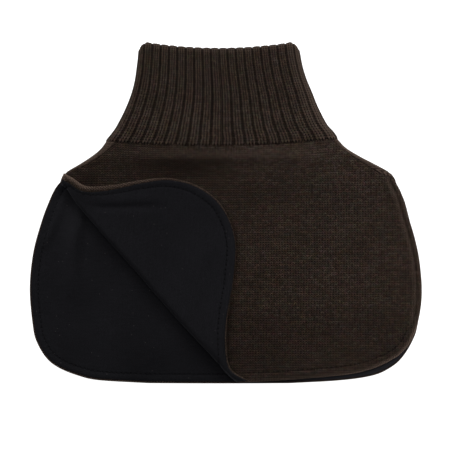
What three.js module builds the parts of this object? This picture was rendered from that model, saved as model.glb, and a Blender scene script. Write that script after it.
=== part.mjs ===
// A turtleneck dickey laid flat on its back: a doubled 2x2 rib collar, and a front and a back bib of plain knit,
// each faced with a soft black lining. The bibs are joined along short shoulder seams and free below them.
// One corner of the front bib is turned over a diagonal fold, so that its lining lies upwards.
// Millimetres, +X across the bibs, +Y up the collar, +Z up from the surface that the dickey lies on.

import * as THREE from "three";

// Cloth thicknesses, and the clearances between the plies and along the seams.
const knitThick = 2.1;
const liningThick = 1.1;
const plyGap = 0.4;
const seamGap = 0.5;
const wallThick = knitThick + plyGap + liningThick;

// The lining ends this far inside the knit's free edges. Where the strips of its grid are wide, only the last one is
// drawn in, by a high power of the place in the grid.
const liningInset = 1.6;
const tuckPower = 16;

// The collar: a ring of ribs in a wall that is folded over at the rim. At the rim the side folds stand lower than the
// front, and so does the rear. A low fullness gives broad ridges and narrow grooves.
const ribCount = 42;
const stepsPerRib = 4;
const ribDepth = 1.5;
const ribFullness = 0.45;
const collarWall = 5.2;
const rimRadius = collarWall / 2;
const sideDrop = 7.0;
const rearDrop = 2.2;
const collarHeights = [0, 0.2, 0.42, 0.64, 0.84, 1];

// Sections across the collar, from its base seam to its rim: outline left and right, thickness as it lies, how far
// the middle hangs below the sides, and how far the right side stands above the middle line.
const collarRows = [
  { y: 73, left: -119.5, right: 111.5, height: 21.0, bow: 5.7, skew: 1.3 },
  { y: 80, left: -113.9, right: 106.9, height: 21.0, bow: 5.6, skew: 1.2 },
  { y: 88, left: -108.5, right: 100.5, height: 20.9, bow: 5.5, skew: 1.1 },
  { y: 104, left: -100.5, right: 92.5, height: 20.7, bow: 5.4, skew: 0.9 },
  { y: 120, left: -94.5, right: 86.5, height: 20.5, bow: 5.4, skew: 0.6 },
  { y: 136, left: -90.5, right: 80.5, height: 20.4, bow: 5.4, skew: 0.3 },
  { y: 153, left: -88.3, right: 76.0, height: 20.4, bow: 6.2, skew: 0.1 },
  { y: 168.2, left: -87.2, right: 73.6, height: 20.4, bow: 7.2, skew: 0 },
];

// The outline of the back bib, from the collar seam down to the hem. The first rows are the stations of the
// shoulder seams, which the front bib shares.
const outlineRows = [
  { y: 72.7, left: -118.4, right: 110.4 },
  { y: 64, left: -124.8, right: 118.9 },
  { y: 56, left: -134.3, right: 132.4 },
  { y: 48, left: -146.5, right: 148.5 },
  { y: 40, left: -159.5, right: 163.2 },
  { y: 33, left: -164.0, right: 168.8 },
  { y: 24, left: -170.3, right: 173.2 },
  { y: 12, left: -176.0, right: 178.2 },
  { y: -8, left: -183.5, right: 183.5 },
  { y: -40, left: -192.1, right: 191.5 },
  { y: -76, left: -195.5, right: 195.5 },
  { y: -112, left: -192.5, right: 191.7 },
  { y: -128, left: -188.8, right: 185.9 },
  { y: -144, left: -179.5, right: 176.5 },
  { y: -154, left: -168, right: 166 },
  { y: -162, left: -149.3, right: 149.3 },
  { y: -166.9, left: -126.7, right: 120 },
  { y: -169.3, left: -96, right: 85.3 },
];

// How the shoulders close: the radius of the side folds, the crown of the front bib between them, the bow and the
// skew of a row, the rise off the surface towards the collar, the width of the back bib's wrap that shows beside
// each seam, and the share of that wrap that is turned up.
const shoulderRows = [
  { y: 72.7, fold: 9.7, crown: 0.2, bow: 5.7, skew: 1.3, rise: 0.8, bandL: 9.3, bandR: 2, turnL: 1, turnR: 1 },
  { y: 64, fold: 9.1, crown: 1.0, bow: 4.3, skew: 1.0, rise: 0.7, bandL: 8.7, bandR: 4, turnL: 1, turnR: 1 },
  { y: 56, fold: 8.4, crown: 2.2, bow: 2.8, skew: 0.6, rise: 0.5, bandL: 8.4, bandR: 7.3, turnL: 1, turnR: 1 },
  { y: 48, fold: 7.3, crown: 3.2, bow: 1.5, skew: 0.3, rise: 0.3, bandL: 8, bandR: 10, turnL: 1, turnR: 1 },
  { y: 40, fold: 6.0, crown: 4.0, bow: 0.6, skew: 0.1, rise: 0.1, bandL: 1.2, bandR: 11.5, turnL: 1, turnR: 1 },
  { y: 33, fold: 5.0, crown: 4.3, bow: 0.2, skew: 0, rise: 0, bandL: 0, bandR: 0, turnL: 0.3, turnR: 1 },
  { y: 24, fold: 4.3, crown: 3.8, bow: 0, skew: 0, rise: 0, bandL: 0, bandR: 0, turnL: 0, turnR: 0.3 },
  { y: 12, fold: 4.0, crown: 2.8, bow: 0, skew: 0, rise: 0, bandL: 0, bandR: 0, turnL: 0, turnR: 0 },
  { y: 0, fold: 3.9, crown: 1.8, bow: 0, skew: 0, rise: 0, bandL: 0, bandR: 0, turnL: 0, turnR: 0 },
  { y: -27, fold: 3.9, crown: 0, bow: 0, skew: 0, rise: 0, bandL: 0, bandR: 0, turnL: 0, turnR: 0 },
  { y: -147, fold: 3.9, crown: 0, bow: 0, skew: 0, rise: 0, bandL: 0, bandR: 0, turnL: 0, turnR: 0 },
  { y: -171, fold: 3.9, crown: 0, bow: 0.8, skew: 0, rise: 0, bandL: 0, bandR: 0, turnL: 0, turnR: 0 },
];

// The free right side of the front bib, from the shoulder seam to the lower corner, and its hem back to the fold.
const frontSide = [
  { x: 168.5, y: 33 },
  { x: 176, y: 16 },
  { x: 183.1, y: -8 },
  { x: 188.5, y: -26.7 },
  { x: 192.8, y: -48 },
  { x: 195.1, y: -74.7 },
  { x: 194, y: -94.7 },
  { x: 189.7, y: -114.7 },
  { x: 182.5, y: -131.1 },
  { x: 171.5, y: -143.1 },
];
const frontHem = [
  { x: 21.9, y: -168 },
  { x: 41.3, y: -168 },
  { x: 74.7, y: -166.4 },
  { x: 119.5, y: -162.5 },
  { x: 141.5, y: -158 },
  { x: 157.5, y: -151.1 },
  { x: 171.5, y: -143.1 },
];

// Sections across the turned corner, from the shoulder to the hem: the outside of the fold, the free edge, the
// radius inside the fold, the height of the free edge over the bib below, and how far the knit shows past the lining.
const flapRows = [
  { foldX: -164.5, foldY: 30, edgeX: -162, edgeY: 36.5, roll: 1.3, lift: 2.4, band: 0.8 },
  { foldX: -157.5, foldY: 23.1, edgeX: -151.5, edgeY: 32, roll: 1.3, lift: 4.2, band: 2.6 },
  { foldX: -148.5, foldY: 9.5, edgeX: -137.5, edgeY: 26, roll: 1.4, lift: 5.6, band: 3.6 },
  { foldX: -133.5, foldY: -8.5, edgeX: -112.5, edgeY: 27.5, roll: 1.6, lift: 5.0, band: 3.6 },
  { foldX: -113.5, foldY: -31.5, edgeX: -83.5, edgeY: 32.5, roll: 1.9, lift: 3.6, band: 3.0 },
  { foldX: -91.5, foldY: -56, edgeX: -55.5, edgeY: 34.5, roll: 2.2, lift: 2.2, band: 2.0 },
  { foldX: -69.5, foldY: -81.5, edgeX: -26.5, edgeY: 26, roll: 2.5, lift: 1.4, band: 1.4 },
  { foldX: -48.5, foldY: -105.5, edgeX: -3.5, edgeY: 6.5, roll: 2.8, lift: 1.4, band: 1.0 },
  { foldX: -30.5, foldY: -125.1, edgeX: 9.1, edgeY: -26, roll: 3.0, lift: 1.2, band: 1.0 },
  { foldX: -16.5, foldY: -140, edgeX: 7.5, edgeY: -65.1, roll: 3.3, lift: 1.0, band: 1.0 },
  { foldX: -6.5, foldY: -151.1, edgeX: 2, edgeY: -101.1, roll: 3.4, lift: 1.0, band: 1.4 },
  { foldX: 0.5, foldY: -158.5, edgeX: 1.1, edgeY: -131.1, roll: 3.4, lift: 1.8, band: 1.6 },
  { foldX: 7.5, foldY: -164.5, edgeX: 7.1, edgeY: -151.2, roll: 3.3, lift: 3.4, band: 1.4 },
  { foldX: 14.5, foldY: -168.8, edgeX: 26, edgeY: -167.5, roll: 3.0, lift: 4.4, band: 0.8 },
];

// Grid sizes. The front bib's columns run from its free edge over the fold to its right side, and the kept part's are
// shared out between the left shoulder, the collar seam and the right shoulder. Rows and columns are closer together
// near the seams.
const backGrid = { edgeColumns: 6, middleColumns: 6, edgeFlat: 7 };
const frontGrid = { rows: 17, rowPower: 1.5, flapColumns: 5, rollColumns: 5, shoulderColumns: 5 };
const collarShares = [0, 0.03, 0.08, 0.2, 0.4, 0.6, 0.8, 0.92, 0.97, 1];
const keptColumns = 2 * frontGrid.shoulderColumns + collarShares.length - 1;
const shoulderShare = frontGrid.shoulderColumns / keptColumns;
const flapShare = -0.4;
const frontSpan = { across: 340, down: 235 };

// Where the right shoulder seam ends, the share of the front bib below its seams in which its edges are kept square
// to the seam, the steepest part of a side fold that it follows, and the share of the turned corner next to the fold
// that stays level with it.
const seamEndY = 33;
const squareShare = 0.06;
const steepest = 0.98;
const levelShare = 0.25;

const cloth = (color, roughness) => new THREE.MeshStandardMaterial({ color, roughness, metalness: 0 });
const ribKnit = cloth(0x3b2f28, 0.95);
const plainKnit = cloth(0x362b24, 0.95);
const lining = cloth(0x17171a, 0.9);

const clamp = THREE.MathUtils.clamp;
const lerp = THREE.MathUtils.lerp;
const smoothstep = THREE.MathUtils.smoothstep;

// A smooth value between a table's rows: a cubic whose slopes come from the neighbouring rows. The rows are found by
// a key column, or, with no key, by their share of the table.
function between(table, column, at, key) {
  const place = (i) => (key ? table[i][key] : i / (table.length - 1));
  const value = (i) => table[i][column];
  const last = table.length - 1;
  const way = Math.sign(place(last) - place(0));
  let i = 0;
  while (i < last - 1 && (at - place(i + 1)) * way > 0) i += 1;
  const slope = (k) => {
    const before = Math.max(0, k - 1);
    const after = Math.min(last, k + 1);
    return (value(after) - value(before)) / (place(after) - place(before));
  };
  const width = place(i + 1) - place(i);
  const s = clamp((at - place(i)) / width, 0, 1);
  const rest = 1 - s;
  return (
    value(i) * (1 + 2 * s) * rest * rest +
    slope(i) * width * s * rest * rest +
    value(i + 1) * s * s * (3 - 2 * s) -
    slope(i + 1) * width * s * s * rest
  );
}

// Turns a geometry's faces outwards, from the sign of its volume.
function facingOut(positions, faces) {
  const corner = (i) => new THREE.Vector3().fromArray(positions, 3 * i);
  let volume = 0;
  for (const [a, b, c] of faces) volume += corner(a).dot(corner(b).cross(corner(c)));
  const index = faces.flatMap(([a, b, c]) => (volume < 0 ? [a, c, b] : [a, b, c]));
  const geometry = new THREE.BufferGeometry();
  geometry.setAttribute("position", new THREE.Float32BufferAttribute(positions, 3));
  geometry.setIndex(index);
  geometry.computeVertexNormals();
  return geometry;
}

// A sheet of cloth between two depths below a face, closed round its rim. place gives the point of the face at two
// parameters and a depth.
function sheet(place, columns, rows, from, to) {
  const across = columns.length;
  const down = rows.length;
  const positions = [];
  for (const depth of [from, to]) {
    for (const v of rows) {
      for (const u of columns) {
        positions.push(...place(u, v, depth).toArray());
      }
    }
  }
  const at = (side, row, column) => (side * down + row) * across + column;
  const faces = [];
  const quad = (a, b, c, d) => faces.push([a, b, c], [a, c, d]);
  for (let row = 0; row < down - 1; row += 1) {
    for (let column = 0; column < across - 1; column += 1) {
      quad(at(0, row, column), at(0, row, column + 1), at(0, row + 1, column + 1), at(0, row + 1, column));
      quad(at(1, row, column), at(1, row + 1, column), at(1, row + 1, column + 1), at(1, row, column + 1));
    }
    quad(at(0, row, 0), at(0, row + 1, 0), at(1, row + 1, 0), at(1, row, 0));
    const end = across - 1;
    quad(at(0, row, end), at(1, row, end), at(1, row + 1, end), at(0, row + 1, end));
  }
  for (let column = 0; column < across - 1; column += 1) {
    const end = down - 1;
    quad(at(0, 0, column), at(1, 0, column), at(1, 0, column + 1), at(0, 0, column + 1));
    quad(at(0, end, column), at(0, end, column + 1), at(1, end, column + 1), at(1, end, column));
  }
  return facingOut(positions, faces);
}

// How deep the groove is at a place in a rib, from 0 to 1: narrow valleys between broad round ridges.
function groove(phase) {
  const ridge = Math.sin(Math.PI * phase);
  return 1 - Math.pow(ridge, ribFullness);
}

// The collar: a flattened tube, straight across the front and the back with a half-round fold at each side. Its
// ribs are counted round the perimeter, with a groove at the middle of the front.
function collarGeometry() {
  const profile = [
    ...collarHeights.map((v) => ({ v, bead: 0 })),
    { v: 1, bead: Math.PI / 3 },
    { v: 1, bead: (2 * Math.PI) / 3 },
    ...collarHeights.toReversed().map((v) => ({ v, bead: Math.PI })),
  ];
  const around = ribCount * stepsPerRib;
  const positions = [];
  for (let step = 0; step < around; step += 1) {
    for (const { v, bead } of profile) {
      positions.push(...collarPoint(step / around, v, bead).toArray());
    }
  }
  const faces = [];
  const count = profile.length;
  for (let step = 0; step < around; step += 1) {
    for (let k = 0; k < count; k += 1) {
      const a = step * count + k;
      const b = step * count + ((k + 1) % count);
      const c = ((step + 1) % around) * count + ((k + 1) % count);
      const d = ((step + 1) % around) * count + k;
      faces.push([a, b, c], [a, c, d]);
    }
  }
  return facingOut(positions, faces);
}

// A point of the collar: a share of the way round from the front's middle, a share of the way up, and the angle
// round the rim's bead, which is 0 on the outer face and half a turn on the inner one.
function collarPoint(share, v, bead) {
  const left = between(collarRows, "left", v);
  const right = between(collarRows, "right", v);
  const fold = between(collarRows, "height", v) / 2;
  const straight = (right - left) / 2 - fold;
  const reach = rimRadius - ribDepth * groove((share * ribCount) % 1);
  const radius = fold - rimRadius + reach * Math.cos(bead);
  const side = share < 0.5 ? 1 : -1;
  const walked = Math.min(share, 1 - share) * (4 * straight + 2 * Math.PI * fold);
  const angle = clamp((walked - straight) / fold, 0, Math.PI);
  const overTop = Math.min(walked, straight);
  const underneath = Math.max(0, walked - straight - Math.PI * fold);
  const x = overTop - underneath + radius * Math.sin(angle);
  const outward = clamp(x / (straight + fold), 0, 1);
  const turned = 1 - Math.cos(angle);
  const dip = between(collarRows, "bow", v) * (1 - outward * outward);
  const tilt = between(collarRows, "skew", v) * side * outward;
  const drop = v * v * (sideDrop * Math.sin(angle) ** 2 + (rearDrop * turned) / 2);
  const rise = v * reach * Math.sin(bead);
  return new THREE.Vector3(
    (left + right) / 2 + side * x,
    between(collarRows, "y", v) - dip + tilt - drop + rise,
    fold + radius * Math.cos(angle),
  );
}

const shoulder = (column, y) => between(shoulderRows, column, y, "y");

// A row of the bibs sags in its middle by the row's bow, and its right end stands higher by the row's skew.
function bowed(x, y) {
  const base = collarRows[0];
  const middle = (base.left + base.right) / 2;
  const share = clamp((x - middle) / ((base.right - base.left) / 2), -1, 1);
  return y - shoulder("bow", y) * (1 - share * share) + shoulder("skew", y) * share;
}

// Draws a share in from its far end by a given amount, and leaves it as it is elsewhere.
const tucked = (share, amount) => share - amount * share ** tuckPower;

// The back bib, whose first face is the lining's. A row runs flat from the middle, then turns up round the side fold
// and over the shoulder as far as the seam. u is -1 at the left edge and 1 at the right one, and v runs from the
// collar down.
function backPlace(inset) {
  return (u, v, depth) => {
    const onLeft = u < 0;
    const rowY = between(outlineRows, "y", v);
    const half = Math.abs(between(outlineRows, onLeft ? "left" : "right", v));
    const fold = shoulder("fold", rowY);
    const band = shoulder(onLeft ? "bandL" : "bandR", rowY);
    const turnShare = clamp(shoulder(onLeft ? "turnL" : "turnR", rowY), 0, 1);
    const turn = turnShare * (Math.PI - Math.asin(clamp(1 - band / fold, 0, 1)));
    const over = turnShare * Math.max(0, band - fold);
    const flat = half - fold * Math.sin(Math.min(turn, Math.PI / 2));
    const total = flat + fold * turn + over;
    const edgeZone = backGrid.edgeFlat + fold * turn + over;
    const middleShare = backGrid.middleColumns / (backGrid.middleColumns + 2 * backGrid.edgeColumns);
    const share = Math.abs(u);
    const edgeShare = (share - middleShare) / (1 - middleShare);
    const drawnIn = inset * smoothstep(seamEndY - rowY, 0, backGrid.edgeFlat);
    const walked =
      edgeShare < 0
        ? ((total - edgeZone) * share) / middleShare
        : total - edgeZone * (1 - edgeShare) - drawnIn * edgeShare;
    const angle = clamp((walked - flat) / fold, 0, turn);
    const past = Math.max(0, walked - flat - fold * turn);
    const radius = fold - wallThick + depth;
    const x = (Math.min(walked, flat) + radius * Math.sin(angle) - past) * (onLeft ? -1 : 1);
    const height = shoulder("rise", rowY) + fold - radius * Math.cos(angle);
    return new THREE.Vector3(x, bowed(x, rowY) + inset * v ** tuckPower, height);
  };
}

// Where the front bib meets the back bib's wrap, at a row.
function seamPoint(y, onLeft) {
  const outline = between(outlineRows, onLeft ? "left" : "right", y, "y");
  const band = shoulder(onLeft ? "bandL" : "bandR", y) + seamGap;
  return new THREE.Vector2(onLeft ? outline + band : outline - band, y);
}

// The height of the front bib's upper face: flat over the back bib, raised towards the collar, and rounded down at
// the shoulders.
function frontHeight(x, y) {
  const half = Math.abs(between(outlineRows, x < 0 ? "left" : "right", y, "y"));
  const fold = shoulder("fold", y);
  const turn = clamp(shoulder(x < 0 ? "turnL" : "turnR", y), 0, 1) ** 3;
  const past = clamp(Math.abs(x) - (half - fold), 0, fold * steepest);
  const drop = turn * (fold - Math.sqrt(fold * fold - past * past));
  const inward = Math.max(0, 1 - (x / half) ** 2);
  return 2 * fold + shoulder("rise", y) - drop + shoulder("crown", y) * inward * inward;
}

// The places of one section of the turned corner: the outside of the fold, its centre line, the free edge, and the
// level way across from the fold to the edge.
function flapSection(t) {
  const column = (name) => between(flapRows, name, t);
  const fold = new THREE.Vector2(column("foldX"), column("foldY"));
  const edge = new THREE.Vector2(column("edgeX"), column("edgeY"));
  const way = edge.clone().sub(fold).normalize();
  const roll = column("roll");
  const centre = fold.clone().addScaledVector(way, roll + wallThick);
  return { centre, edge, way, roll, lift: column("lift"), band: column("band") };
}

// The upper boundary of the front bib's kept part: up the left shoulder seam, along the collar, down the right one.
function frontTop(u) {
  const onLeft = u < 0.5;
  const station = (frontGrid.shoulderColumns * (shoulderShare - Math.min(u, 1 - u))) / shoulderShare;
  if (station >= 0) {
    const last = frontGrid.shoulderColumns - 1;
    const seam = (k) => seamPoint(outlineRows[k].y, onLeft);
    const corner = onLeft ? flapSection(0).centre : new THREE.Vector2(frontSide[0].x, frontSide[0].y);
    const k = Math.min(last, Math.floor(station));
    return seam(k).lerp(k === last ? corner : seam(k + 1), station - k);
  }
  const topY = outlineRows[0].y;
  const s = (u - shoulderShare) / (1 - 2 * shoulderShare);
  return seamPoint(topY, true).lerp(seamPoint(topY, false), s);
}

// The plan of the front bib's kept part, blended between its four boundaries.
function frontPlan(u, t) {
  const from = (table, at) => new THREE.Vector2(between(table, "x", at), between(table, "y", at));
  const fold = (at) => flapSection(at).centre;
  const corners = [fold(0), from(frontSide, 0), fold(1), from(frontSide, 1)];
  const hem = from(frontHem, u).addScaledVector(fold(1).sub(from(frontHem, 0)), 1 - u);
  const blended = frontTop(u).multiplyScalar(1 - t).addScaledVector(hem, t);
  blended.addScaledVector(fold(t), 1 - u).addScaledVector(from(frontSide, t), u);
  const shares = [(1 - u) * (1 - t), u * (1 - t), (1 - u) * t, u * t];
  corners.forEach((corner, i) => blended.addScaledVector(corner, -shares[i]));
  return blended;
}

// The kept part of the front bib at a depth below its upper face. Along the seams the depth is measured in the row's
// own plane, so that the edges meet their neighbours squarely.
function keptPlace(u, t, depth) {
  const face = (a, b) => {
    const plan = frontPlan(a, b);
    return new THREE.Vector3(plan.x, bowed(plan.x, plan.y), frontHeight(plan.x, plan.y));
  };
  const step = 1e-3;
  const across = face(Math.min(1, u + step), t).sub(face(Math.max(0, u - step), t));
  const along = face(u, Math.min(1, t + step)).sub(face(u, Math.max(0, t - step)));
  const normal = along.cross(across);
  normal.y *= Math.min(1, t / squareShare);
  return face(u, t).addScaledVector(normal.normalize(), -depth);
}

// The front bib, whose first face is the knit's outer one. u runs from -1 at the turned corner's free edge, over the
// fold, to 1 at the right side, and v from the shoulders down to the hem.
function frontPlace(inset) {
  return (u, v, depth) => {
    const t = tucked(v, inset / frontSpan.down);
    const freeSide = Math.min(1, v / squareShare);
    if (u >= 0) return keptPlace(tucked(u, (freeSide * inset) / frontSpan.across), t, depth);
    const { centre, edge, way, roll, lift, band } = flapSection(t);
    const base = frontHeight(centre.x, centre.y);
    if (u > flapShare) {
      const angle = (Math.PI * u) / flapShare;
      const plan = centre.clone().addScaledVector(way, -(roll + depth) * Math.sin(angle));
      const height = base + roll - (roll + depth) * Math.cos(angle);
      return new THREE.Vector3(plan.x, bowed(plan.x, plan.y), height);
    }
    const inward = inset > 0 ? Math.min(0.5, band / centre.distanceTo(edge)) : 0;
    const across = (flapShare - u) / (1 + flapShare);
    const s = across * (1 - inward * across);
    const plan = centre.clone().lerp(edge, s);
    const clear = lerp(2 * roll, lift, s * (2 - s));
    const level = lerp(base, frontHeight(plan.x, plan.y), Math.min(1, s / levelShare));
    return new THREE.Vector3(plan.x, bowed(plan.x, plan.y), level + clear + depth);
  };
}

const evenly = (count, low, high) => Array.from({ length: count + 1 }, (_, i) => lerp(low, high, i / count));

const backColumns = evenly(backGrid.middleColumns + 2 * backGrid.edgeColumns, -1, 1);
const backRows = evenly(outlineRows.length - 1, 0, 1);
const frontColumns = [
  ...evenly(frontGrid.flapColumns, -1, flapShare),
  ...evenly(frontGrid.rollColumns, flapShare, 0).slice(1),
  ...evenly(frontGrid.shoulderColumns, 0, shoulderShare).slice(1),
  ...collarShares.slice(1, -1).map((s) => lerp(shoulderShare, 1 - shoulderShare, s)),
  ...evenly(frontGrid.shoulderColumns, 1 - shoulderShare, 1),
];
const frontRows = evenly(frontGrid.rows, 0, 1).map((v) => v ** frontGrid.rowPower);

// The plies of each bib, as depths below its first face: the back's is its lining's, the front's is its knit's.
const backBib = (inset, from, to) => sheet(backPlace(inset), backColumns, backRows, from, to);
const frontBib = (inset, from, to) => sheet(frontPlace(inset), frontColumns, frontRows, from, to);
const pieces = [
  { name: "collar", geometry: collarGeometry(), material: ribKnit },
  { name: "back_lining", geometry: backBib(liningInset, 0, liningThick), material: lining },
  { name: "back_knit", geometry: backBib(0, liningThick + plyGap, wallThick), material: plainKnit },
  { name: "front_lining", geometry: frontBib(liningInset, knitThick + plyGap, wallThick), material: lining },
  { name: "front_knit", geometry: frontBib(0, 0, knitThick), material: plainKnit },
];

const dickey = new THREE.Group();
for (const { name, geometry, material } of pieces) {
  const piece = new THREE.Mesh(geometry, material);
  piece.name = name;
  dickey.add(piece);
}

// The origin is under the middle of the whole outline, on the surface that the dickey lies on.
const extent = new THREE.Box3().setFromObject(dickey);
const middle = extent.getCenter(new THREE.Vector3());
dickey.position.set(-middle.x, -middle.y, -extent.min.z);

export default dickey;
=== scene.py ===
# Looks of a knitted turtleneck dickey that lies flat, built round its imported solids. The shapes are worked
# out in millimetres, as in the part's source, and put into the meshes in metres.
import math

import bpy
import numpy as np
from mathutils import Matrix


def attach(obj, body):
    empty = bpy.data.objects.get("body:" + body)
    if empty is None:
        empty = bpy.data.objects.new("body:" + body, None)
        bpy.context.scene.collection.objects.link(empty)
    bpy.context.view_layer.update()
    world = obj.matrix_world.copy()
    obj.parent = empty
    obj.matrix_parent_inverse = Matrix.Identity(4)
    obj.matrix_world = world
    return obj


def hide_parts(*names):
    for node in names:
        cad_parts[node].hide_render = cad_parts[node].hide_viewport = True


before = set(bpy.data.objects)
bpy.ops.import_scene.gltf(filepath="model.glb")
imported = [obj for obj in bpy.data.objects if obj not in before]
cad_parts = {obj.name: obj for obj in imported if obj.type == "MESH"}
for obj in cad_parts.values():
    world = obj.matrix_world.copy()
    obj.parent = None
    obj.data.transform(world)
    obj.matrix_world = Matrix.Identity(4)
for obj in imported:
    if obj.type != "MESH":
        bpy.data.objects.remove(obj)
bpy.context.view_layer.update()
print("frame loaded:", sorted(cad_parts))

frameShift = np.array([0, 0.681, 0])  # from the source's own origin to the frame's, in millimetres
waleSize, courseSize = 2.67, 2.35  # one stitch of the plain knit, across and up
stitchPitch, stitchInset = 4.87, 8.6  # topstitching: length of a stitch, distance from the edge
needleHole, threadChannel = (0.5, 1.3), (0.5, 1.5)  # how far from its middle each is full, and ends


# tables, curves and small shapes

def table(names, *rows):  # named columns from a few rows
    return dict(zip(names.split(), np.array(rows, float).T))


def along(rows, column, at, key=None):
    # a smooth value between a table's rows: cubics whose slopes come from the neighbouring rows. Rows are
    # found by a key column, or, with no key, by their share of the table
    value = rows[column]
    last = len(value) - 1
    place = rows[key] if key else np.linspace(0, 1, last + 1)
    way = np.sign(place[-1] - place[0])
    before, after = np.r_[0, 0:last], np.r_[1:last + 1, last]
    slope = (value[after] - value[before]) / (place[after] - place[before])
    at = np.asarray(at, float)
    i = np.clip(np.searchsorted(way * place, way * at, side="right") - 1, 0, last - 1)
    width = place[i + 1] - place[i]
    s = np.clip((at - place[i]) / width, 0, 1)
    rest = 1 - s
    return (value[i] * (1 + 2 * s) * rest ** 2 + slope[i] * width * s * rest ** 2
            + value[i + 1] * s ** 2 * (3 - 2 * s) - slope[i + 1] * width * s ** 2 * rest)


def eased(low, high, at):  # 0 below low, 1 above high, smooth between; it falls where low is the greater
    s = np.clip((at - low) / (high - low), 0, 1)
    return s * s * (3 - 2 * s)


def hump(at, centre, width):  # a bell of height 1
    return np.exp(-((at - centre) / width) ** 2)


def ripples(x, y, size, seed, waves=7):
    # gentle unevenness between about -1 and 1: sine waves of about one length in different directions
    rng = np.random.default_rng(seed)
    angles, stretches = rng.uniform(0, np.pi, waves), rng.uniform(0.7, 1.5, waves)
    total = np.zeros(np.broadcast(x, y).shape)
    for angle, stretch, phase in zip(angles, stretches, rng.uniform(0, 6.28, waves)):
        total = total + np.sin(6.283 * stretch * (x * np.cos(angle) + y * np.sin(angle)) / size + phase)
    return total / 4


edgeRows = np.array([  # how far from an edge the grid lines lie that draw its round rim and its hem
    0, 0.1, 0.35, 0.75, 1.25, 1.8, 2.5, 3.3, 4.2, 5.2, 6.1, 6.9, 7.5, 8.0, 8.5, 9.0, 9.5, 10.2, 11.2])


def spread(span, step, atStart, atEnd):
    # shares of a span: even steps in its middle, and edgeRows at a finished edge
    start = edgeRows if atStart else edgeRows[:1]
    end = span - (edgeRows if atEnd else edgeRows[:1])[::-1]
    middle = np.linspace(start[-1], end[0], max(2, int((end[0] - start[-1]) / step)) + 1)[1:-1]
    return np.concatenate([start, middle, end]) / span


def nearLine(points, line):
    # how far each point of a plane lies from a line of points, and how far along the line it is nearest
    gap, place = np.full(points.shape[:-1], 1e9), np.zeros(points.shape[:-1])
    begun = 0.0
    for a, b in zip(line[:-1], line[1:]):
        span = b - a
        length = math.hypot(*span)
        if length < 1e-6:
            continue
        share = np.clip(((points - a) @ span) / length ** 2, 0, 1)
        here = np.linalg.norm(points - a - share[..., None] * span, axis=-1)
        place = np.where(here < gap, begun + share * length, place)
        gap = np.minimum(here, gap)
        begun += length
    return gap, place


def rounded(distance, radius):  # the profile of a round edge: 0 at the edge, 1 from one radius inwards
    return np.sqrt(np.clip(1 - (1 - np.clip(distance / radius, 0, 1)) ** 2, 0, 1))


def unit(ways):  # directions of length 1
    return ways / np.linalg.norm(ways, axis=-1)[..., None]


def rightOf(ways):  # directions in the plan, turned a quarter clockwise
    return np.stack([ways[..., 1], -ways[..., 0]], -1)


def walkedAlong(line):  # how far along a line of points each of them lies
    return np.r_[0, np.cumsum(np.linalg.norm(np.diff(line, axis=0), axis=1))]


def pointsAt(at, known, line):  # points of a line at any places, straight between its known ones
    return np.stack([np.interp(at, known, line[:, k]) for k in range(line.shape[1])], -1)


def resampled(line, step):  # a line of points at even steps
    walked = walkedAlong(line)
    return pointsAt(np.linspace(0, walked[-1], max(2, int(round(walked[-1] / step)) + 1)), walked, line)


# meshes

def makeMesh(name, points, quads, uvs, material):
    # points in millimetres, quads as rows of four; the volume's sign tells whether its faces are turned
    a, b, c, d = (points[quads[:, k]] for k in range(4))
    volume = (a * np.cross(b, c)).sum() + (a * np.cross(c, d)).sum()
    if volume < 0:
        quads = quads[:, ::-1]
    mesh = bpy.data.meshes.new(name)
    mesh.vertices.add(len(points))
    mesh.vertices.foreach_set("co", ((points + frameShift) / 1000).astype(np.float32).ravel())
    mesh.loops.add(quads.size)
    mesh.loops.foreach_set("vertex_index", quads.astype(np.int32).ravel())
    mesh.polygons.add(len(quads))
    mesh.polygons.foreach_set("loop_start", np.arange(0, quads.size, 4, dtype=np.int32))
    mesh.polygons.foreach_set("use_smooth", np.ones(len(quads), bool))
    for uvName, uv in uvs.items():
        layer = mesh.uv_layers.new(name=uvName)
        layer.data.foreach_set("uv", uv[quads.ravel()].astype(np.float32).ravel())
    mesh.update(calc_edges=True)
    mesh.validate()
    mesh.materials.append(material)
    piece = bpy.data.objects.new(name, mesh)
    bpy.context.scene.collection.objects.link(piece)
    return piece


def gridQuads(rows, columns, closedAcross=False, closedDown=False):
    # the cells of a grid of numbered points, joined to itself where it closes
    down = np.arange(rows if closedDown else rows - 1)[:, None]
    across = np.arange(columns if closedAcross else columns - 1)[None, :]
    below, beside = (down + 1) % rows, (across + 1) % columns
    corners = (down, across), (below, across), (below, beside), (down, beside)
    cells = [np.broadcast_to(row * columns + column, (down.size, across.size)) for row, column in corners]
    return np.stack(cells, -1).reshape(-1, 4)


def clothSheet(name, upper, lower, uvs, material, ring=False):
    # two faces of cloth over one grid, joined round the rim. A ring grid runs round and round, from the rim
    # in row 0 to a tiny middle in its last row, whose hole is closed by a ladder of quads
    rows, columns = upper.shape[:2]
    count = rows * columns
    top = gridQuads(rows, columns, closedAcross=ring)
    parts = [top, top[:, ::-1] + count]
    if ring:
        rim = np.arange(columns)
        k = np.arange(columns // 2 - 1)
        ladder = np.stack([k, k + 1, columns - 2 - k, columns - 1 - k], -1) + (rows - 1) * columns
        parts += [ladder[:, ::-1], ladder + count]
    else:
        down, across = np.arange(rows) * columns, np.arange(columns)
        rim = np.r_[across, down[1:] + columns - 1, (across + down[-1])[::-1][1:], down[::-1][1:-1]]
    after = np.roll(rim, -1)
    parts.append(np.stack([rim, after, after + count, rim + count], -1))
    points = np.concatenate([upper.reshape(-1, 3), lower.reshape(-1, 3)])
    both = {k: np.concatenate([v.reshape(-1, 2)] * 2) for k, v in uvs.items()}
    return makeMesh(name, points, np.concatenate(parts), both, material)


# camera, light and floor, in metres and watts

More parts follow.
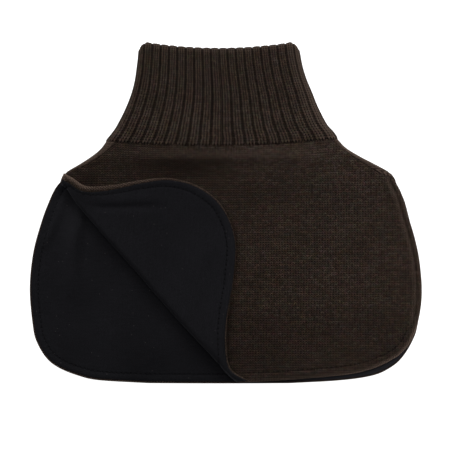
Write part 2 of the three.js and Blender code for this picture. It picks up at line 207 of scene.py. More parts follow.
view = dict(centre=(-0.0008, -0.0114), width=0.447, distance=2.2, objectHeight=0.010, sensor=36)
lamps = dict(  # watts, width, place
    key=(25.2, 0.9, (-1.12, 1.23, 1.12)),
    side=(2.2, 0.6, (1.0, -0.4, 0.6)),
    fill=(8.0, 0.9, (0.75, 0.5, 0.85)))
worldGlow = 0.15
floorLook = dict(color=0.5, glow=1.05, half=4, below=0.0002)

scene = bpy.context.scene
scene.view_settings.view_transform = "Standard"
lens = bpy.data.cameras.new("camera")
lens.sensor_width = view["sensor"]
lens.lens = view["sensor"] * (view["distance"] - view["objectHeight"]) / view["width"]
lens.clip_start, lens.clip_end = 0.1, 10
camera = bpy.data.objects.new("camera", lens)
camera.location = (*view["centre"], view["distance"])
scene.collection.objects.link(camera)
scene.camera = camera


def softLight(name, watts, width, place):
    # a round lamp that faces the origin: tilted by the slope of its place, and turned to its side
    x, y, z = place
    lamp = bpy.data.lights.new(name, "AREA")
    lamp.shape, lamp.size, lamp.energy = "DISK", width, watts
    lampObject = bpy.data.objects.new(name, lamp)
    lampObject.location = x, y, z
    lampObject.rotation_euler = math.atan2(math.hypot(x, y), z), 0, math.atan2(x, -y)
    scene.collection.objects.link(lampObject)


for name, lamp in lamps.items():
    softLight(name, *lamp)
world = bpy.data.worlds.new("studio")
world.use_nodes = True
world.node_tree.nodes["Background"].inputs["Color"].default_value = (1, 1, 1, 1)
world.node_tree.nodes["Background"].inputs["Strength"].default_value = worldGlow
scene.world = world


# materials

def mathsMethod(kind, swapped=False):  # a method that adds a maths node for two values, in either order
    def method(self, other):
        return self.maths(kind, *((other, self) if swapped else (self, other)))
    return method


class Wire:
    # a socket in a material, so that shader maths reads as plain expressions
    __add__, __radd__ = mathsMethod("ADD"), mathsMethod("ADD", swapped=True)
    __sub__, __rsub__ = mathsMethod("SUBTRACT"), mathsMethod("SUBTRACT", swapped=True)
    __mul__, __pow__ = mathsMethod("MULTIPLY"), mathsMethod("POWER")

    def __init__(self, tree, socket=None):
        self.tree, self.socket = tree, socket

    def node(self, kind, settings=None, inputs=None, output=0):
        # adds a node: its settings first, then the values or links of its sockets
        made = self.tree.nodes.new(kind)
        for name, value in (settings or {}).items():
            if name == "stops":
                ramp = made.color_ramp.elements
                while len(ramp) < len(value):
                    ramp.new(0.5)
                for stop, (place, color) in zip(ramp, value):
                    stop.position, stop.color = place, (*color, 1)
            else:
                setattr(made, name, value)
        self.feed(made, inputs or {})
        return Wire(self.tree, made.outputs[output])

    def feed(self, made, inputs):  # links wires to a node's sockets, and sets numbers and colours
        for name, value in inputs.items():
            if isinstance(value, Wire):
                self.tree.links.new(value.socket, made.inputs[name])
            else:
                made.inputs[name].default_value = (*value, 1) if isinstance(value, tuple) else value

    def maths(self, operation, *values):
        return self.node("ShaderNodeMath", {"operation": operation}, dict(enumerate(values)))

    def __abs__(self):
        return self.maths("ABSOLUTE", self)

    def fract(self):
        return self.maths("FRACT", self)

    def floor(self):
        return self.maths("FLOOR", self)

    def smooth(self, low, high):  # 0 below low, 1 above high
        return self.node("ShaderNodeMapRange", {"interpolation_type": "SMOOTHSTEP"},
                         {"Value": self, "From Min": low, "From Max": high})

    def band(self, centre, flat, end):  # 1 near a centre, 0 past its end
        return 1 - abs(self - centre).smooth(flat, end)

    def parts(self):  # the three parts of a vector
        split = self.node("ShaderNodeSeparateXYZ", {}, {"Vector": self})
        return [Wire(self.tree, out) for out in split.socket.node.outputs]

    def place(self):  # where on the piece: as a vector, then how far across and up it in millimetres
        vector = self.node("ShaderNodeTexCoord", output=3)
        across, up, _ = vector.parts()
        return vector, across * 1000, up * 1000

    def map(self, name):  # the two numbers of one of the piece's own maps
        return self.node("ShaderNodeUVMap", {"uv_map": name}).parts()[:2]

    def vector(self, x, y, z=0.0):
        return self.node("ShaderNodeCombineXYZ", {}, {"X": x, "Y": y, "Z": z})

    def noise(self, vector, scale, detail=2.0, output=0):
        inputs = {"Vector": vector, "Scale": scale, "Detail": detail}
        return self.node("ShaderNodeTexNoise", {}, inputs, output)

    def ramp(self, stops, tone):
        return self.node("ShaderNodeValToRGB", {"stops": stops}, {"Fac": tone})

    def blend(self, factor, a, b, kind="MIX"):  # mixes two colours
        settings = {"data_type": "RGBA", "blend_type": kind}
        return self.node("ShaderNodeMix", settings, {0: factor, 6: a, 7: b}, output=2)


def newMaterial(name):  # a material, a wire in it and its shader
    material = bpy.data.materials.new(name)
    material.use_nodes = True
    return material, Wire(material.node_tree), material.node_tree.nodes["Principled BSDF"]


def finishMaterial(wire, shader, color, roughness, height, look):  # matt cloth with its relief as a bump
    bump = wire.node("ShaderNodeBump", {}, {"Height": height, "Distance": look["bump"], "Strength": 1.0})
    wire.feed(shader, {
        "Base Color": color, "Roughness": roughness, "Normal": bump, "Specular IOR Level": 0.06,
        "Sheen Weight": look["sheen"], "Sheen Roughness": 0.4, "Sheen Tint": look["sheenTint"]})


def stitchHoles(wire):
    # from a bib's own hem map, the number of the stitch and the distance from the edge: how near a needle
    # hole is, and how near the channel that the thread draws
    number, inward = wire.map("hem")
    lengthways, across = (number.fract() - 0.5) * stitchPitch, inward - stitchInset
    away = (lengthways * lengthways + across * across) ** 0.5
    return 1 - away.smooth(*needleHole), 1 - abs(across).smooth(*threadChannel)


def paintedShadingByPlace(across, up, patches):
    # painted light and shade as slow changes of tone: each patch is a soft oblong, a band across times a band
    # up, times its change
    total = 0.0
    for x, flatX, endX, y, flatY, endY, change in zip(*patches.values()):
        total = across.band(x, flatX, endX) * up.band(y, flatY, endY) * change + total
    return total


def knitMaterial(name, look, finish):
    # heather knit: each wale is a column of stitches, each stitch two slanting legs, and every leg has its
    # own tone. Along a course the yarn drifts between tones, which draws faint streaks across the cloth
    material, wire, shader = newMaterial(name)
    wale, course = wire.map("cloth")
    fibre, across, up = wire.place()
    side = wale.fract() - 0.5
    lifted = course - abs(side) * look["slant"]
    strand = lifted.fract() * 2 - 1
    edge = abs(side).smooth(0.12, 0.5)
    # the stitches stand out less to the right, and that also makes the cloth paler there, as painted light
    cut = look["strandCut"] - across.smooth(-100, 150) * look["firmCut"] + edge * look["holeCut"]
    height = (1.12 - edge * look["waleCut"] - strand * strand * cut).smooth(0.0, 1.0)
    leg = wire.vector(wale.floor() * 2 + side.maths("SIGN", side), lifted.floor(), 0.5)
    ownTone = wire.node("ShaderNodeTexWhiteNoise", {"noise_dimensions": "3D"}, {"Vector": leg})
    streak = wire.noise(wire.vector(wale * 0.16, course.floor() * 3.7), 1.0)
    cloud, fleck = wire.noise(fibre, look["cloudScale"]), wire.noise(fibre, look["fleckScale"], 3.0)
    # painted light and shade, by the place on the piece, over the yarn's own level
    tone = paintedShadingByPlace(across, up, look["patches"]) + look["level"]
    for kind, source in dict(stitchTone=ownTone, streakTone=streak, cloudTone=cloud, fleckTone=fleck).items():
        tone = tone + (source - 0.5) * look[kind]
    hue = wire.noise(wire.vector(wale * 0.25, course * 0.7, 4.0), 1.0, 3.0)
    yarn = wire.blend(hue.smooth(0.35, 0.65), wire.ramp(look["cool"], tone), wire.ramp(look["warm"], tone))
    for kind in ("dye", "wash"):
        drift = wire.noise(fibre, look[kind + "Scale"], 4.0, output=1)
        yarn = wire.blend(look[kind], yarn, drift, "OVERLAY")
    color, relief = finish(wire, look, fibre, fleck, yarn, height)
    fuzz = wire.noise(fibre, look["fuzzScale"], 3.0)
    finishMaterial(wire, shader, color, 0.9 + fleck * 0.1, relief + fuzz * 0.35, look)
    return material


def seamShade(wire, look, fibre, fleck, distance):
    # 1 in a seam and 0 past its shade, whose end is made ragged by the flecks and a coarser noise
    ragged = (fleck - 0.5) * 2 + (wire.noise(fibre, look["raggedScale"], 1.0) - 0.5) * look["ragged"]
    return 1 - (distance + ragged).smooth(*look["seamShade"])


def jerseyFinish(wire, look, fibre, fleck, yarn, height):
    # needle holes of the topstitching, a rope of fibres along the rolled edge, and painted shade in the seams
    hole, channel = stitchHoles(wire)
    number, inward = wire.map("hem")
    edgeFuzzAndHighlight, seam = wire.map("trim")
    # where the edge's map is high the yarn turns to a rope of paler fuzz and painted highlight
    ply = abs((number * 1.7 + inward * 0.45).fract() - 0.5) * 2
    lit = (ply - 0.5) * 1.7 + fleck * 1.6 + edgeFuzzAndHighlight.smooth(0.8, 1.6) - 0.3
    yarn = wire.blend(edgeFuzzAndHighlight * (fleck + 0.5), yarn, wire.blend(lit, look["fringeShade"], look["fringeColor"]))
    color = wire.blend(height + edgeFuzzAndHighlight * 0.4, look["gap"], yarn)
    shade = hole.maths("MAXIMUM", hole, seamShade(wire, look, fibre, fleck, seam))
    relief = height + edgeFuzzAndHighlight * (ply - 0.5) - hole * 1.2 - channel * 0.3
    return wire.blend(shade * 0.8, color, look["gap"]), relief


def ribFinish(wire, look, fibre, fleck, yarn, height):
    # painted shade gathers in the grooves between the ribs and along the seam, and a painted highlight lies
    # on the fibres of the rim and down the sunny side
    phase, up = wire.map("rib")
    groove = 1 - (0.5 - abs(phase.fract() - 0.5) + (fleck - 0.5) * 0.07).smooth(*look["grooveWidth"])
    shade = groove.maths("MAXIMUM", groove, seamShade(wire, look, fibre, fleck, up))
    rim = (up + (fleck - 0.5) * 6).smooth(*look["rimFringe"])
    yarn = wire.blend(rim * 0.5 + phase.band(*look["sunnyRib"]) * 0.42, yarn, look["fringeColor"])
    return wire.blend(shade * look["grooveShade"], wire.blend(height, look["gap"], yarn), look["gap"]), height


everywhere = 0, 500, 600  # the middle of a band, half its full width, and half its width where it ends
knitLook = dict(
    slant=1.05, waleCut=0.17, strandCut=0.95, firmCut=0.4, holeCut=0.65, stitchTone=0.2, streakTone=0.26,
    cloudTone=0.12, cloudScale=28.0, fleckTone=0.95, fleckScale=1000.0, fuzzScale=900.0, dye=0.36,
    dyeScale=320.0, wash=0.13, washScale=48.0, level=0.428, seamShade=(0.3, 2.4), ragged=6, raggedScale=240.0,
    patches=table(  # painted light and shade: paler to the right, on the swell and by the collar; darker in hollows and along the hem
        "x flatX endX y flatY endY change",
        (200, 0, 220, *everywhere, 0.03), (200, 165, 220, 46, 6, 25, 0.08), (200, 260, 310, 67, 3, 16, 0.06),
        (-34, 15, 58, 44, 3, 22, -0.07), (-137, 2, 14, 31, 1, 12, -0.14), (30, 30, 90, 22, 4, 18, -0.035),
        (-200, 210, 310, -200, 70, 140, -0.055), (*everywhere, -125, 12, 40, -0.055)),
    warm=[(0.1, (0.0102, 0.0059, 0.0042)), (0.5, (0.0325, 0.0204, 0.0147)), (0.9, (0.0980, 0.0690, 0.0520))],
    cool=[(0.1, (0.0095, 0.0066, 0.0050)), (0.5, (0.0297, 0.0215, 0.0163)), (0.9, (0.0910, 0.0700, 0.0550))],
    # the last colour is the pale tan of edge fuzz and painted highlight
    gap=(0.0016, 0.0009, 0.0006), fringeShade=(0.020, 0.013, 0.010), fringeColor=(0.110, 0.077, 0.060),
    bump=0.0005, sheen=0.12, sheenTint=(0.85, 0.62, 0.48))
ribLook = dict(
    knitLook, slant=1.0, waleCut=0.5, strandCut=0.68, firmCut=0.0, stitchTone=0.18, streakTone=0.14,
    fleckTone=1.0, level=0.514, bump=0.0006, grooveShade=0.66, grooveWidth=(0.035, 0.15),
    # painted shade along the seam, and painted highlights on the rim and on a rib near the right side
    seamShade=(-0.2, 1.5), ragged=7.5, raggedScale=160.0, rimFringe=(92.5, 98), sunnyRib=(10.2, 0.7, 2.6),
    # painted light: the collar is paler near its base
    patches=table("x flatX endX y flatY endY change", (*everywhere, 86, 8, 32, 0.045)))


def liningMaterial(name, look):
    # soft brushed black jersey: fine wales that hardly show, a fibre nap, a few specks of lint, painted light
    # and shade
    material, wire, shader = newMaterial(name)
    wale, course = wire.map("cloth")
    fibre, acrossPiece, upPiece = wire.place()
    across = (wale * look["finer"]).fract() - 0.5
    up = (course * look["finer"] * 1.1 - abs(across)).fract() - 0.5
    weave = (1 - across * across * 3) * (1 - up * up * 2.4)
    nap, cloud = wire.noise(fibre, look["napScale"], 3.0), wire.noise(fibre, look["cloudScale"])
    rows = wire.noise(wire.vector(wale * 0.2, course * 1.7, 2.0), 1.0)
    tone = nap * 1.3 + rows * 0.35 + cloud * 0.3 + weave * 0.12 - look["darker"]
    # painted light and shade, by the place on the piece
    color = wire.ramp(look["tones"], tone + paintedShadingByPlace(acrossPiece, upPiece, look["patches"]))
    lint = wire.node("ShaderNodeTexVoronoi", {"voronoi_dimensions": "2D"},
                     {"Vector": wire.vector(wale, course), "Scale": look["lintScale"]})
    speck = (1 - lint.smooth(0.008, 0.03)) * wire.noise(fibre, 31.0, 0.0).smooth(0.5, 0.56)
    color = wire.blend(speck * 0.7, color, look["lint"])
    # painted light on the nap, where the piece's map asks for it
    paintedLight, _ = wire.map("trim")
    color = wire.blend(paintedLight * (nap + 0.4), color, look["paintedLight"])
    # the stitches show best along the turned corner, and sink into the nap to its left and along the hem
    hole, channel = stitchHoles(wire)
    shown = acrossPiece.smooth(-120, -50) * upPiece.smooth(-155, -130) * 0.42 + 0.16
    color = wire.blend(hole * shown, color, look["hole"])
    relief = weave * 0.35 + nap * 0.6 - hole * 1.8 - channel * 0.2
    finishMaterial(wire, shader, color, 0.86 + nap * 0.12, relief, look)
    return material


liningLook = dict(
    finer=2.1, darker=0.47, napScale=1300.0, cloudScale=22.0, lintScale=0.16, lint=(0.09, 0.08, 0.08),
    # after the holes' colour comes the paler nap of painted light
    hole=(0.0008, 0.0008, 0.0009), paintedLight=(0.020, 0.0195, 0.023), bump=0.0003, sheen=0.03,
    sheenTint=(0.8, 0.82, 0.95),
    tones=[(0.2, (0.0039, 0.0038, 0.0047)), (0.5, (0.0064, 0.0063, 0.0075)),
           (0.85, (0.0111, 0.0109, 0.0131))],
    patches=table("x flatX endX y flatY endY change",  # painted light and shade: paler to the right, but darker low down there
                  (200, 230, 290, *everywhere, 0.07), (200, 290, 330, -200, 50, 90, -0.17)))
threadLook = dict(bump=0.00008, sheen=0.0, sheenTint=(1, 1, 1))


def threadMaterial(name, color):
    # twisted sewing thread: fine slanting ply lines along each stitch
    material, wire, shader = newMaterial(name)
    lengthways, around = wire.map("cloth")
    ply = (lengthways * 5 + around * 2).fract() - 0.5
    twist = 1 - ply * ply * 4
    shade = wire.blend(twist, tuple(0.45 * c for c in color), color)
    finishMaterial(wire, shader, shade, 0.85 + twist * 0.1, twist, threadLook)
    return material


ribKnit = knitMaterial("heatherRib", ribLook, ribFinish)
plainKnit = knitMaterial("heatherJersey", knitLook, jerseyFinish)
liningCloth = liningMaterial("brushedLining", liningLook)
brownThread = threadMaterial("brownThread", (0.009, 0.006, 0.0045))
blackThread = threadMaterial("blackThread", (0.0050, 0.0049, 0.0058))

floorMaterial, floorWire, floorShader = newMaterial("paleFloor")
floorWire.feed(floorShader, {
    "Base Color": (floorLook["color"],) * 3, "Roughness": 0.9, "Specular IOR Level": 0.1,
    "Emission Color": (1, 1, 1), "Emission Strength": floorLook["glow"]})
floorCorners = [(x * floorLook["half"], y * floorLook["half"], -floorLook["below"])
                for x, y in ((-1, -1), (1, -1), (1, 1), (-1, 1))]
floorMesh = bpy.data.meshes.new("floor")
floorMesh.from_pydata(floorCorners, [], [(0, 1, 2, 3)])
floorMesh.materials.append(floorMaterial)
floor = bpy.data.objects.new("floor", floorMesh)
scene.collection.objects.link(floor)
print("camera, light and materials made")


# collar

collar = dict(
    ribs=42, samples=16, wall=5.2, ribDepth=2.1, fullness=0.28, creases=(0.367, 0.633), creaseDepth=0.28,
    creaseWidth=0.05, wander=0.035, uneven=0.16, sideDrop=7.0, rearDrop=2.2, height=97.0, outerStep=1.5,
    innerStep=5.0, rimSteps=9, baseRows=(0, 0.12, 0.45, 0.95, 1.6, 2.4), baseRound=1.1, scallop=0.8,
    scallopHeight=2.4, leastWall=0.35, columns=4, ridgeStart=0.1, courseSize=2.4, rimCourse=0.35)
collarRows = table(
    "y left right height bow skew",
    (73, -119.5, 111.5, 21.0, 5.7, 1.3),
    (80, -113.9, 106.9, 21.0, 5.6, 1.2),
    (88, -108.5, 100.5, 20.9, 5.5, 1.1),
    (104, -100.5, 92.5, 20.7, 5.4, 0.9),
    (120, -94.5, 86.5, 20.5, 5.4, 0.6),
    (136, -90.5, 80.5, 20.4, 5.4, 0.3),
    (153, -88.3, 76.0, 20.4, 6.2, 0.1),
    (168.2, -87.2, 73.6, 20.4, 7.2, 0))


def collarPoints(share, v, bead, fromBase):
    # a flattened tube, straight across the front and the back with a half round at each side. share runs
    # round it from the front's middle and v up it. Its wall is a doubled rib whose half thickness dips
    # between the ribs, bead turns over the rim, from 0 outside to half a turn inside, and near the base the
    # wall's faces round in
    left, right = along(collarRows, "left", v), along(collarRows, "right", v)
    fold = along(collarRows, "height", v) / 2
    straight = (right - left) / 2 - fold
    wander = collar["wander"] * ripples(share * 900, v * 60, 55, 3) * v
    phase = (share * collar["ribs"] + wander) % 1
    ridge = np.sin(np.pi * phase)
    groove = 1 - ridge ** collar["fullness"]
    crease = sum(hump(phase, place, collar["creaseWidth"]) for place in collar["creases"])
    uneven = collar["uneven"] * ripples(share * 900, v * 97, 40, 5)
    reach = collar["wall"] / 2 - collar["ribDepth"] * groove - collar["creaseDepth"] * crease + uneven * ridge
    pinch = collar["baseRound"] * (1 - rounded(fromBase, collar["baseRound"]))
    reach = np.maximum(reach - pinch, collar["leastWall"])
    radius = fold - collar["wall"] / 2 + reach * np.cos(bead)
    side = np.where(share < 0.5, 1, -1)
    walked = np.minimum(share, 1 - share) * (4 * straight + 2 * np.pi * fold)
    angle = np.clip((walked - straight) / fold, 0, np.pi)
    past = np.maximum(0, walked - straight - np.pi * fold)
    x = np.minimum(walked, straight) - past + radius * np.sin(angle)
    outward = np.clip(x / (straight + fold), 0, 1)
    dip = along(collarRows, "bow", v) * (1 - outward ** 2)
    tilt = along(collarRows, "skew", v) * side * outward
    drop = v ** 2 * (collar["sideDrop"] * np.sin(angle) ** 2 + collar["rearDrop"] * (1 - np.cos(angle)) / 2)
    scallop = collar["scallop"] * (1 - groove) * hump(fromBase, 0, collar["scallopHeight"])
    rise = v * reach * np.sin(bead) - scallop
    y = along(collarRows, "y", v) - dip + tilt - drop + rise
    return np.stack([(left + right) / 2 + side * x, y, fold + radius * np.cos(angle)], -1)


def makeCollar():
    # a grid round the tube: up its outer face, over the rim and down its inner face, closed into a ring
    high, rim = collar["height"], collar["rimSteps"]
    base = np.array(collar["baseRows"])
    outer, inner = (np.r_[base, np.linspace(base[-1], high, int(high / collar[step]))[1:]]
                    for step in ("outerStep", "innerStep"))
    inner = inner[::-1]
    bead = np.r_[np.zeros(len(outer)), np.linspace(0, np.pi, rim + 2)[1:-1], np.full(len(inner), np.pi)]
    up = np.r_[outer, np.full(rim, high), inner]
    around = collar["ribs"] * collar["samples"]
    share = np.arange(around)[:, None] / around
    points = collarPoints(share, up[None] / high, bead[None], up[None])
    # four columns of stitches to a rib: three stand on the ridge, and one is squeezed into the groove
    ribs, start, columns = share * collar["ribs"], collar["ridgeStart"], collar["columns"]
    wales = columns * np.floor(ribs) + np.interp(ribs % 1, [0, start, 1 - start, 1],
                                                 [-0.5, 0, columns - 1, columns - 0.5])
    rows = lambda part: (along(collarRows, "y", part / high) - collarRows["y"][0]) / collar["courseSize"]
    overRim = rows(high) + np.arange(1, rim + 1) * collar["rimCourse"]
    courses = np.r_[rows(outer), overRim, 2 * rows(high) + (rim + 1) * collar["rimCourse"] - rows(inner)]
    maps = {"cloth": (wales, courses[None]), "rib": (ribs, up[None])}
    maps = {name: np.stack(np.broadcast_arrays(*pair), -1).reshape(-1, 2) for name, pair in maps.items()}
    quads = gridQuads(around, len(up), closedAcross=True, closedDown=True)
    return makeMesh("ribCollar", points.reshape(-1, 3), quads, maps, ribKnit)


ribCollar = makeCollar()
print("collar made:", len(ribCollar.data.polygons), "faces")


# the cloth of both bibs

cloth = dict(
    knit=2.1, gap=0.4, wall=3.6, seamGap=0.5, liningInset=1.6, rimRound=1.9, liningRound=0.9,
    seamRound=0.8, underCollar=1.0, puff=0.75, puffPlace=4.2, puffWidth=2.6, groove=0.5, grooveWidth=1.1,
    pucker=0.8, lap=0.25)
rolledHem = table("height middle width", (0.5, 2.4, 1.6), (-1.0, 5.0, 0.9), (0.9, 7.6, 1.7))
outlineRows = table(
    "y edgeL edgeR",
    (72.7, -118.4, 110.4), (64, -124.8, 118.9), (56, -134.3, 132.4), (48, -146.5, 148.5),
    (40, -159.5, 163.2), (33, -164.0, 168.8), (24, -170.3, 173.2), (12, -176.0, 178.2), (-8, -183.5, 183.5),
    (-40, -192.1, 191.5), (-76, -195.5, 195.5), (-112, -192.5, 191.2), (-128, -188.8, 185.9),
    (-144, -179.5, 176), (-154, -167.3, 164.6), (-162, -148, 147), (-166.9, -126, 114.5), (-169.3, -78, 64))
shoulderRows = table(
    "y fold crown bow skew rise bandL bandR turnL turnR",
    (72.7, 9.7, 0.2, 5.7, 1.3, 0.8, 9.3, 2, 1, 1),
    (64, 9.1, 1.0, 4.3, 1.0, 0.7, 8.7, 4, 1, 1),
    (56, 8.4, 2.2, 2.8, 0.6, 0.5, 8.4, 7.3, 1, 1),
    (48, 7.3, 3.2, 1.5, 0.3, 0.3, 8, 10, 1, 1),
    (40, 6.0, 4.0, 0.6, 0.1, 0.1, 1.2, 11.5, 1, 1),
    (33, 5.0, 4.3, 0.2, 0, 0, 0, 0, 0.3, 1),
    (24, 4.3, 3.8, 0, 0, 0, 0, 0, 0, 0.3),
    (12, 4.0, 2.8, 0, 0, 0, 0, 0, 0, 0),
    (0, 3.9, 1.8, 0, 0, 0, 0, 0, 0, 0),
    (-27, 3.9, 0, 0, 0, 0, 0, 0, 0, 0),
    (-147, 3.9, 0, 0, 0, 0, 0, 0, 0, 0),
    (-171, 3.9, 0, 0.8, 0, 0, 0, 0, 0, 0))
seamEndY = 33.0  # where the shoulder seams end
lastRow = len(outlineRows["y"]) - 1


def shoulder(column, y):  # a column of shoulderRows at any y
    return along(shoulderRows, column, y, "y")


def onSide(rows, name, left, y):  # the left or the right one of a pair of columns at any y
    return np.where(left, along(rows, name + "L", y, "y"), along(rows, name + "R", y, "y"))


def bowed(x, y):  # a row sags in its middle, and its right end stands higher
    share = np.clip((x + 4) / 115.5, -1, 1)
    return y - shoulder("bow", y) * (1 - share ** 2) + shoulder("skew", y) * share


def hemRelief(distance, place, rolled=0, pull=1):
    # the edge stands puffy between its rim and the topstitching, which draws a puckered channel by its
    # pull. Where the hem is rolled instead, a plain groove lies nearer to the edge, with a ridge inside it
    pucker = 1 + cloth["pucker"] * np.cos(2 * np.pi * place / stitchPitch)
    puff = cloth["puff"] * hump(distance, cloth["puffPlace"], cloth["puffWidth"]) * eased(0, 1.5, distance)
    sewn = puff - pull * cloth["groove"] * pucker * hump(distance, stitchInset, cloth["grooveWidth"])
    roll = sum(height * hump(distance, middle, width) for height, middle, width in zip(*rolledHem.values()))
    return sewn + (roll - sewn) * rolled


def knitDepths(free, place, seam, band, rolled=0):
    # depths of the knit's outer and inner face: outwards is less. Past the lining the knit rolls over to
    # its side, and at a seam it rounds down
    lip = 1 - eased(band - 0.5, band + 0.5, free)
    inner = cloth["knit"] + lip * (cloth["wall"] + cloth["lap"] - cloth["knit"])
    outer = cloth["seamRound"] * (1 - rounded(seam, cloth["seamRound"])) - hemRelief(free, place, rolled)
    middle, half = (outer + inner) / 2, (inner - outer) / 2
    half = half * np.maximum(rounded(free, cloth["rimRound"]), 0.03)
    return middle - half, middle + half


def liningDepths(free, place, band, pull):
    # depths of the lining's outer and inner face, counted from the knit's outer face
    relief = hemRelief(free, place, pull=pull)
    outer, inner = cloth["wall"] + relief, cloth["knit"] + cloth["gap"] + np.minimum(relief, 0) * 0.5
    edge = rounded(free - band + 0.05, cloth["liningRound"])
    middle = (outer + inner) / 2 - cloth["lap"] * (1 - edge)
    half = (outer - inner) / 2 * np.maximum(edge, 0.04)
    return middle + half, middle - half


# back bib

back = dict(centre=(0.0, -50.0), aroundStep=3, knitRings=3.2, liningRings=1.5, hemWidth=12, foldsTop=45)
foldRows = table(
    "y crest height outer outerHeight",
    (16, -149, 0, -160, 0), (8, -148, 0.6, -165, 2.2), (-3, -146.5, 3.0, -167, 3.8),
    (-23, -149.8, 7.4, -175, 2.8), (-38, -151, 7.2, -181, 0), (-56, -150.5, 5.0, -186, 0),
    (-95, -149, 0, -190, 0))


def backWalk(left, y):
    # across a row of the back bib: how far it runs flat, and how it turns up over the shoulder
    fold = shoulder("fold", y)
    band = np.maximum(onSide(shoulderRows, "band", left, y), 0)
    share = np.clip(onSide(shoulderRows, "turn", left, y), 0, 1)
    turn = share * (np.pi - np.arcsin(np.clip(1 - band / fold, 0, 1)))
    flat = np.abs(onSide(outlineRows, "edge", left, y)) - fold * np.sin(np.minimum(turn, np.pi / 2))
    return fold, turn, flat, flat + fold * turn + share * np.maximum(0, band - fold)


def backPoints(flat, depth):
    # from the laid-out cloth to the lying bib: a row is flat, then turns round the side fold and over the
    # shoulder. depth is counted outwards from the lining's face
    x, y = flat[..., 0], flat[..., 1]
    y = y + cloth["underCollar"] * eased(68, 72.7, y)
    fold, turn, straight, _ = backWalk(x < 0, y)
    walked = np.abs(x)
    angle = np.clip((walked - straight) / fold, 0, turn)
    past = np.maximum(0, walked - straight - fold * turn) * np.where(turn > 2, 1, -1)
    radius = fold - cloth["wall"] + depth
    across = np.where(x < 0, -1, 1) * (np.minimum(walked, straight) + radius * np.sin(angle) - past)
    return np.stack([across, bowed(across, y), shoulder("rise", y) + fold - radius * np.cos(angle)], -1)


def backOutline():
    # the laid-out edge, clockwise from the left end of the collar seam, and which points are on a seam
    rowAt = np.linspace(0, 1, lastRow * 24 + 1)
    y = along(outlineRows, "y", rowAt)
    sides = []
    for side, edge in ((-1, "edgeL"), (1, "edgeR")):
        outline = np.abs(along(outlineRows, edge, rowAt))
        sides.append(np.stack([side * np.where(y > seamEndY - 12, backWalk(side < 0, y)[3], outline), y], -1))
    line = resampled(np.concatenate([sides[0][:1], sides[1], sides[0][::-1]]), 1.0)
    return line[:-1], line[:-1, 1] >= seamEndY - 1


def inset(line, amount):  # moves a closed clockwise line inwards by an amount at each point
    ahead = np.roll(line, -1, 0) - np.roll(line, 1, 0)
    return line + rightOf(unit(ahead)) * np.asarray(amount)[:, None]


backLine, backOnSeam = backOutline()
backFree = eased(0, 6, seamEndY - backLine[:, 1])  # 0 on the seams, 1 along the free edge
hemStart = int(np.argmax(~backOnSeam))
backLoop, loopOnSeam = np.roll(backLine, -hemStart, 0), np.roll(backOnSeam, -hemStart)


def backCloth(drawnIn, ringStep):
    # rings of the laid-out bib from its edge inwards: close together over the hem, then even shares of the
    # way to the centre. With them come the distances from the free edge, along it and from the seams
    edge = inset(backLine, drawnIn * backFree)[::back["aroundStep"]]
    ray = np.array(back["centre"]) - edge
    length = np.linalg.norm(ray, axis=1)
    near = spread(100, ringStep, True, False)[:, None] * 100
    hem = back["hemWidth"]
    past = np.clip((near - hem) / (100 - hem), 0, 1)
    inward = np.where(near < hem, near, hem + (length[None] * 0.995 - hem) * past)
    flat = edge[None] + unit(ray)[None] * inward[..., None]
    free, place = nearLine(flat, backLoop[~loopOnSeam])
    return flat, free, place, nearLine(flat, backLoop[loopOnSeam])[0]


def shoulderFolds(points):
    # two soft folds down from the left shoulder, which rise gently from the left and fall steeply
    x, y = points[..., 0], points[..., 1]
    total = 0 * x
    for crest, height, left, right in (("crest", "height", 14, 5), ("outer", "outerHeight", 6, 4)):
        off = x - along(foldRows, crest, y, "y")
        total = total + along(foldRows, height, y, "y") * hump(off, 0, np.where(off < 0, left, right))
    return total


def clothMaps(flat, place, free, seam, fuzzAndHighlight):
    # a piece's three maps: the stitches' columns and rows, which drift a little; the number of the topstitch
    # and the distance from the edge; the edge's painted highlight, on the knit partly paler fuzz, and the
    # distance from a seam, greater where less painted shade gathers
    x, y = flat[..., 0], flat[..., 1]
    drift = np.stack([ripples(x, y, 95, 41), ripples(x, y, 80, 43)], -1) * 0.4
    seam = seam + 0.6 + 1.4 * eased(70, 62, y) + 1.6 * eased(70, 100, x) * eased(62, 70, y)
    return {"cloth": (flat + drift) / np.array([waleSize, courseSize]),
            "hem": np.stack([place / stitchPitch, free], -1), "trim": np.stack([fuzzAndHighlight, seam], -1)}


def makeBackKnit():
    # the outer ply, flat where it lies on the table. Fuzz and a painted highlight pale its edge at the lower
    # left and the seams
    flat, free, place, seam = backCloth(0, back["knitRings"])
    x, y = flat[..., 0], flat[..., 1]
    outer, inner = knitDepths(free, place, seam, cloth["liningInset"])
    faces = [backPoints(flat, cloth["wall"] - depth) for depth in (np.maximum(outer, 0), inner)]
    # painted highlight, partly paler fuzz, along the lower left edge and by the shoulder seams
    fuzzAndHighlight = (0.25 + 0.5 * eased(-60, -140, y) * eased(40, -60, x)) * (1 - eased(1.2, 4.6, free))
    fuzzAndHighlight = fuzzAndHighlight + 0.9 * (1 - eased(3, 10, seam)) * eased(seamEndY - 3, 40, y)
    return clothSheet("backBibKnit", *faces, clothMaps(flat, place, free, seam, fuzzAndHighlight), plainKnit, ring=True)


